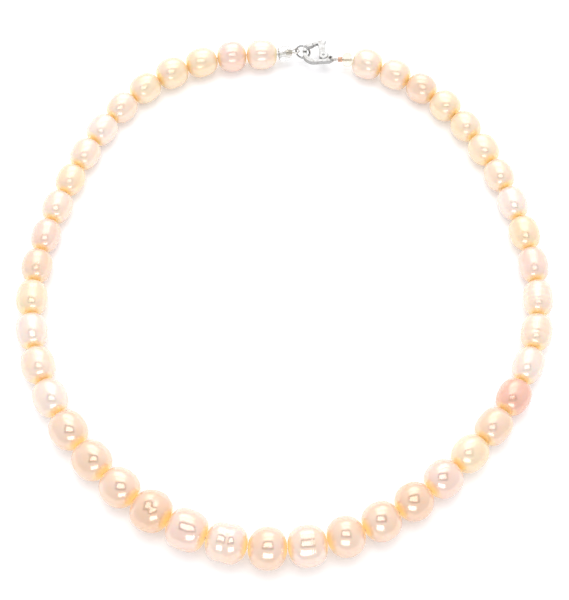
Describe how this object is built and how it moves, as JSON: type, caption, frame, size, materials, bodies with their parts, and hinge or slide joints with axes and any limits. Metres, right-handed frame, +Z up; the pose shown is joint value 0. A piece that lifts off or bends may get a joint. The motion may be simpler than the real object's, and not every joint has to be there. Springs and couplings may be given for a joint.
{
  "type": "pearl necklace",
  "caption": "Single strand of oval baroque pearls on beading wire, with a spring lobster clasp hooked on a jump ring, for wear round the neck.",
  "frame": {"origin": "centre of the bounding box at its base, on the surface that the strand lies on", "axes": "+Z up; +Y from the front pearls towards the clasp; +X to the right, seen from the front"},
  "size_m": [0.145, 0.1632, 0.0106],
  "materials": {
    "pearl_peach": "peach nacre with a pearly lustre",
    "pearl_cream": "yellowish cream nacre with a pearly lustre",
    "pearl_pink": "pinkish white nacre with a pearly lustre",
    "pearl_deep_rose": "deep rose-peach nacre with a pearly lustre",
    "beading_wire": "stranded steel in a clear nylon coat",
    "clear_glass": "clear polished glass",
    "crimp_copper": "worn plated copper",
    "silver_finding": "bright polished silver plate",
    "spring_steel": "plain spring steel"
  },
  "bodies": {
    "wire_back_left": {"wire_back_left": "beading_wire", "crimp_left": "crimp_copper"},
    "wire_side_left": {"wire_side_left": "beading_wire"},
    "wire_front_left": {"wire_front_left": "beading_wire"},
    "wire_front": {"wire_front": "beading_wire"},
    "wire_front_right": {"wire_front_right": "beading_wire"},
    "wire_side_right": {"wire_side_right": "beading_wire"},
    "wire_back_right": {"wire_back_right": "beading_wire", "crimp_right": "crimp_copper"},
    "jump_ring": {"jump_ring": "silver_finding"},
    "clasp_body": {"clasp_body": "silver_finding", "lever_pin": "silver_finding", "lever_spring": "spring_steel"},
    "clasp_lever": {"clasp_lever": "silver_finding"},
    "clear_bead_left": {"clear_bead_left": "clear_glass"},
    "clear_bead_right": {"clear_bead_right": "clear_glass"},
    "pearl_01": {"pearl_01": "pearl_cream"},
    "pearl_02": {"pearl_02": "pearl_pink"},
    "pearl_03": {"pearl_03": "pearl_cream"},
    "pearl_04": {"pearl_04": "pearl_cream"},
    "pearl_05": {"pearl_05": "pearl_cream"},
    "pearl_06": {"pearl_06": "pearl_cream"},
    "pearl_07": {"pearl_07": "pearl_pink"},
    "pearl_08": {"pearl_08": "pearl_cream"},
    "pearl_09": {"pearl_09": "pearl_cream"},
    "pearl_10": {"pearl_10": "pearl_cream"},
    "pearl_11": {"pearl_11": "pearl_pink"},
    "pearl_12": {"pearl_12": "pearl_peach"},
    "pearl_13": {"pearl_13": "pearl_cream"},
    "pearl_14": {"pearl_14": "pearl_pink"},
    "pearl_15": {"pearl_15": "pearl_cream"},
    "pearl_16": {"pearl_16": "pearl_pink"},
    "pearl_17": {"pearl_17": "pearl_peach"},
    "pearl_18": {"pearl_18": "pearl_peach"},
    "pearl_19": {"pearl_19": "pearl_peach"},
    "pearl_20": {"pearl_20": "pearl_peach"},
    "pearl_21": {"pearl_21": "pearl_pink"},
    "pearl_22": {"pearl_22": "pearl_pink"},
    "pearl_23": {"pearl_23": "pearl_peach"},
    "pearl_24": {"pearl_24": "pearl_pink"},
    "pearl_25": {"pearl_25": "pearl_peach"},
    "pearl_26": {"pearl_26": "pearl_peach"},
    "pearl_27": {"pearl_27": "pearl_peach"},
    "pearl_28": {"pearl_28": "pearl_pink"},
    "pearl_29": {"pearl_29": "pearl_cream"},
    "pearl_30": {"pearl_30": "pearl_peach"},
    "pearl_31": {"pearl_31": "pearl_deep_rose"},
    "pearl_32": {"pearl_32": "pearl_pink"},
    "pearl_33": {"pearl_33": "pearl_cream"},
    "pearl_34": {"pearl_34": "pearl_cream"},
    "pearl_35": {"pearl_35": "pearl_pink"},
    "pearl_36": {"pearl_36": "pearl_cream"},
    "pearl_37": {"pearl_37": "pearl_pink"},
    "pearl_38": {"pearl_38": "pearl_cream"},
    "pearl_39": {"pearl_39": "pearl_cream"},
    "pearl_40": {"pearl_40": "pearl_cream"},
    "pearl_41": {"pearl_41": "pearl_cream"},
    "pearl_42": {"pearl_42": "pearl_peach"},
    "pearl_43": {"pearl_43": "pearl_cream"},
    "pearl_44": {"pearl_44": "pearl_cream"}
  },
  "joints": [
    {"name": "bend_back_left", "type": "hinge", "parent": "wire_side_left", "child": "wire_back_left", "pos_m": [-0.05084, 0.05307, 0.0042], "axis": [0, 0, 1], "range_deg": [-1.8, 1.8]},
    {"name": "bend_side_left", "type": "hinge", "parent": "wire_front_left", "child": "wire_side_left", "pos_m": [-0.06829, -0.01173, 0.00429], "axis": [0, 0, 1], "range_deg": [-5, 5]},
    {"name": "bend_front_left", "type": "hinge", "parent": "wire_front", "child": "wire_front_left", "pos_m": [-0.03727, -0.06406, 0.00521], "axis": [0, 0, 1], "range_deg": [-3.79, 3.79]},
    {"name": "bend_front_right", "type": "hinge", "parent": "wire_front", "child": "wire_front_right", "pos_m": [0.01957, -0.07173, 0.00517], "axis": [0, 0, 1], "range_deg": [-3.66, 3.66]},
    {"name": "bend_side_right", "type": "hinge", "parent": "wire_front_right", "child": "wire_side_right", "pos_m": [0.06204, -0.03153, 0.00431], "axis": [0, 0, 1], "range_deg": [-4.84, 4.84]},
    {"name": "bend_back_right", "type": "hinge", "parent": "wire_side_right", "child": "wire_back_right", "pos_m": [0.05951, 0.03764, 0.00423], "axis": [0, 0, 1], "range_deg": [-1.66, 1.66]},
    {"name": "lever_open", "type": "hinge", "parent": "clasp_body", "child": "clasp_lever", "pos_m": [0.01165, 0.07573, 0.00453], "axis": [0, 0, -1], "range_deg": [0, 28], "stiffness_Nm_per_rad": 0.00002, "springref_deg": -11.46, "deforming": ["lever_spring"]},
    {"name": "clasp_swing", "type": "hinge", "parent": "wire_back_right", "child": "clasp_body", "pos_m": [0.0138, 0.07469, 0.00453], "axis": [0, 0, 1], "range_deg": [-5, 5]},
    {"name": "ring_roll", "type": "hinge", "parent": "wire_back_left", "child": "jump_ring", "pos_m": [0.00551, 0.0775, 0.00453], "axis": [0.9795, -0.2015, 0], "range_deg": [-10, 10]},
    {"name": "clear_bead_left_spin", "type": "hinge", "parent": "wire_back_left", "child": "clear_bead_left", "pos_m": [-0.0022, 0.07654, 0.00447], "axis": [0.9821, 0.1879, 0.0106], "continuous": true},
    {"name": "clear_bead_right_spin", "type": "hinge", "parent": "wire_back_right", "child": "clear_bead_right", "pos_m": [0.02057, 0.07443, 0.00459], "axis": [-0.9971, 0.0544, -0.0537], "continuous": true},
    {"name": "pearl_01_spin", "type": "hinge", "parent": "wire_back_left", "child": "pearl_01", "pos_m": [-0.00686, 0.07646, 0.00451], "axis": [-0.9998, -0.0176, 0.0081], "continuous": true},
    {"name": "pearl_02_spin", "type": "hinge", "parent": "wire_back_left", "child": "pearl_02", "pos_m": [-0.01593, 0.07569, 0.00453], "axis": [-0.988, -0.1542, -0.0034], "continuous": true},
    {"name": "pearl_03_spin", "type": "hinge", "parent": "wire_back_left", "child": "pearl_03", "pos_m": [-0.02491, 0.07346, 0.00452], "axis": [-0.9475, -0.3199, 0.0012], "continuous": true},
    {"name": "pearl_04_spin", "type": "hinge", "parent": "wire_back_left", "child": "pearl_04", "pos_m": [-0.03364, 0.06949, 0.00452], "axis": [-0.8643, -0.503, -0.0021], "continuous": true},
    {"name": "pearl_05_spin", "type": "hinge", "parent": "wire_back_left", "child": "pearl_05", "pos_m": [-0.04138, 0.06387, 0.00439], "axis": [-0.7446, -0.6671, -0.0244], "continuous": true},
    {"name": "pearl_06_spin", "type": "hinge", "parent": "wire_back_left", "child": "pearl_06", "pos_m": [-0.04789, 0.05687, 0.00424], "axis": [-0.6126, -0.7904, -0.0071], "continuous": true},
    {"name": "pearl_07_spin", "type": "hinge", "parent": "wire_side_left", "child": "pearl_07", "pos_m": [-0.05317, 0.04898, 0.00419], "axis": [-0.4957, -0.8685, -0.0036], "continuous": true},
    {"name": "pearl_08_spin", "type": "hinge", "parent": "wire_side_left", "child": "pearl_08", "pos_m": [-0.05746, 0.04049, 0.00412], "axis": [-0.4065, -0.9136, -0.0095], "continuous": true},
    {"name": "pearl_09_spin", "type": "hinge", "parent": "wire_side_left", "child": "pearl_09", "pos_m": [-0.06105, 0.03161, 0.00409], "axis": [-0.3407, -0.9402, 0.002], "continuous": true},
    {"name": "pearl_10_spin", "type": "hinge", "parent": "wire_side_left", "child": "pearl_10", "pos_m": [-0.06403, 0.02251, 0.0041], "axis": [-0.2818, -0.9595, -0.0004], "continuous": true},
    {"name": "pearl_11_spin", "type": "hinge", "parent": "wire_side_left", "child": "pearl_11", "pos_m": [-0.06641, 0.01306, 0.0041], "axis": [-0.2089, -0.9779, 0.0019], "continuous": true},
    {"name": "pearl_12_spin", "type": "hinge", "parent": "wire_side_left", "child": "pearl_12", "pos_m": [-0.06798, 0.00333, 0.00417], "axis": [-0.1083, -0.994, 0.0119], "continuous": true},
    {"name": "pearl_13_spin", "type": "hinge", "parent": "wire_side_left", "child": "pearl_13", "pos_m": [-0.0684, -0.00665, 0.00426], "axis": [0.0225, -0.9997, 0.0058], "continuous": true},
    {"name": "pearl_14_spin", "type": "hinge", "parent": "wire_front_left", "child": "pearl_14", "pos_m": [-0.06739, -0.0168, 0.00436], "axis": [0.1742, -0.9846, 0.0143], "continuous": true},
    {"name": "pearl_15_spin", "type": "hinge", "parent": "wire_front_left", "child": "pearl_15", "pos_m": [-0.06482, -0.02673, 0.00452], "axis": [0.3255, -0.9454, 0.0155], "continuous": true},
    {"name": "pearl_16_spin", "type": "hinge", "parent": "wire_front_left", "child": "pearl_16", "pos_m": [-0.06071, -0.03627, 0.00469], "axis": [0.4615, -0.887, 0.0178], "continuous": true},
    {"name": "pearl_17_spin", "type": "hinge", "parent": "wire_front_left", "child": "pearl_17", "pos_m": [-0.05522, -0.04528, 0.00488], "axis": [0.5766, -0.8168, 0.0188], "continuous": true},
    {"name": "pearl_18_spin", "type": "hinge", "parent": "wire_front_left", "child": "pearl_18", "pos_m": [-0.04868, -0.05344, 0.005], "axis": [0.673, -0.7397, 0.0039], "continuous": true},
    {"name": "pearl_19_spin", "type": "hinge", "parent": "wire_front_left", "child": "pearl_19", "pos_m": [-0.04123, -0.06067, 0.00512], "axis": [0.7589, -0.6509, 0.0183], "continuous": true},
    {"name": "pearl_20_spin", "type": "hinge", "parent": "wire_front", "child": "pearl_20", "pos_m": [-0.03294, -0.06685, 0.00528], "axis": [0.8407, -0.5414, 0.0126], "continuous": true},
    {"name": "pearl_21_spin", "type": "hinge", "parent": "wire_front", "child": "pearl_21", "pos_m": [-0.02395, -0.07169, 0.00531], "axis": [0.9152, -0.4029, -0.0062], "continuous": true},
    {"name": "pearl_22_spin", "type": "hinge", "parent": "wire_front", "child": "pearl_22", "pos_m": [-0.01419, -0.07495, 0.00531], "axis": [0.9732, -0.2297, 0.0051], "continuous": true},
    {"name": "pearl_23_spin", "type": "hinge", "parent": "wire_front", "child": "pearl_23", "pos_m": [-0.0042, -0.07633, 0.00532], "axis": [0.9994, -0.0353, -0.0023], "continuous": true},
    {"name": "pearl_24_spin", "type": "hinge", "parent": "wire_front", "child": "pearl_24", "pos_m": [0.0056, -0.07572, 0.00527], "axis": [0.9874, 0.158, -0.009], "continuous": true},
    {"name": "pearl_25_spin", "type": "hinge", "parent": "wire_front", "child": "pearl_25", "pos_m": [0.01503, -0.07333, 0.0052], "axis": [0.9432, 0.3322, -0.0049], "continuous": true},
    {"name": "pearl_26_spin", "type": "hinge", "parent": "wire_front_right", "child": "pearl_26", "pos_m": [0.02387, -0.06943, 0.00509], "axis": [0.8813, 0.4722, -0.0165], "continuous": true},
    {"name": "pearl_27_spin", "type": "hinge", "parent": "wire_front_right", "child": "pearl_27", "pos_m": [0.03216, -0.06431, 0.00495], "axis": [0.8165, 0.5773, -0.0135], "continuous": true},
    {"name": "pearl_28_spin", "type": "hinge", "parent": "wire_front_right", "child": "pearl_28", "pos_m": [0.03982, -0.05832, 0.00482], "axis": [0.7566, 0.6537, -0.0133], "continuous": true},
    {"name": "pearl_29_spin", "type": "hinge", "parent": "wire_front_right", "child": "pearl_29", "pos_m": [0.04697, -0.05156, 0.00465], "axis": [0.6971, 0.7167, -0.0198], "continuous": true},
    {"name": "pearl_30_spin", "type": "hinge", "parent": "wire_front_right", "child": "pearl_30", "pos_m": [0.05359, -0.04407, 0.0045], "axis": [0.625, 0.7806, -0.0102], "continuous": true},
    {"name": "pearl_31_spin", "type": "hinge", "parent": "wire_front_right", "child": "pearl_31", "pos_m": [0.05937, -0.03585, 0.00438], "axis": [0.5249, 0.851, -0.0143], "continuous": true},
    {"name": "pearl_32_spin", "type": "hinge", "parent": "wire_side_right", "child": "pearl_32", "pos_m": [0.06405, -0.02673, 0.00425], "axis": [0.3862, 0.9223, -0.0114], "continuous": true},
    {"name": "pearl_33_spin", "type": "hinge", "parent": "wire_side_right", "child": "pearl_33", "pos_m": [0.06718, -0.0169, 0.00417], "axis": [0.2181, 0.9759, -0.003], "continuous": true},
    {"name": "pearl_34_spin", "type": "hinge", "parent": "wire_side_right", "child": "pearl_34", "pos_m": [0.06855, -0.00664, 0.00411], "axis": [0.047, 0.9989, -0.0082], "continuous": true},
    {"name": "pearl_35_spin", "type": "hinge", "parent": "wire_side_right", "child": "pearl_35", "pos_m": [0.06829, 0.00376, 0.00408], "axis": [-0.0984, 0.9951, 0.0016], "continuous": true},
    {"name": "pearl_36_spin", "type": "hinge", "parent": "wire_side_right", "child": "pearl_36", "pos_m": [0.06675, 0.01388, 0.0041], "axis": [-0.2032, 0.9791, 0.0028], "continuous": true},
    {"name": "pearl_37_spin", "type": "hinge", "parent": "wire_side_right", "child": "pearl_37", "pos_m": [0.06431, 0.0237, 0.00412], "axis": [-0.2792, 0.9602, 0.0007], "continuous": true},
    {"name": "pearl_38_spin", "type": "hinge", "parent": "wire_side_right", "child": "pearl_38", "pos_m": [0.0612, 0.0331, 0.00418], "axis": [-0.3496, 0.9368, 0.0113], "continuous": true},
    {"name": "pearl_39_spin", "type": "hinge", "parent": "wire_back_right", "child": "pearl_39", "pos_m": [0.05743, 0.04193, 0.00425], "axis": [-0.4351, 0.9004, 0.0042], "continuous": true},
    {"name": "pearl_40_spin", "type": "hinge", "parent": "wire_back_right", "child": "pearl_40", "pos_m": [0.0528, 0.05017, 0.00431], "axis": [-0.544, 0.8391, 0.0079], "continuous": true},
    {"name": "pearl_41_spin", "type": "hinge", "parent": "wire_back_right", "child": "pearl_41", "pos_m": [0.04723, 0.05749, 0.0044], "axis": [-0.6649, 0.7469, 0.011], "continuous": true},
    {"name": "pearl_42_spin", "type": "hinge", "parent": "wire_back_right", "child": "pearl_42", "pos_m": [0.04062, 0.06377, 0.00445], "axis": [-0.7795, 0.6264, 0.0007], "continuous": true},
    {"name": "pearl_43_spin", "type": "hinge", "parent": "wire_back_right", "child": "pearl_43", "pos_m": [0.03307, 0.06889, 0.00449], "axis": [-0.871, 0.4912, 0.0079], "continuous": true},
    {"name": "pearl_44_spin", "type": "hinge", "parent": "wire_back_right", "child": "pearl_44", "pos_m": [0.02483, 0.07278, 0.00456], "axis": [-0.9325, 0.3611, 0.0074], "continuous": true}
  ],
  "couplings": [
    {"joint": "bend_back_left", "follows": "bend_side_left", "ratio": 0.35934},
    {"joint": "bend_front_left", "follows": "bend_side_left", "ratio": -0.7578},
    {"joint": "bend_front_right", "follows": "bend_side_left", "ratio": 0.73205},
    {"joint": "bend_side_right", "follows": "bend_side_left", "ratio": -0.96701},
    {"joint": "bend_back_right", "follows": "bend_side_left", "ratio": -0.33127}
  ]
}
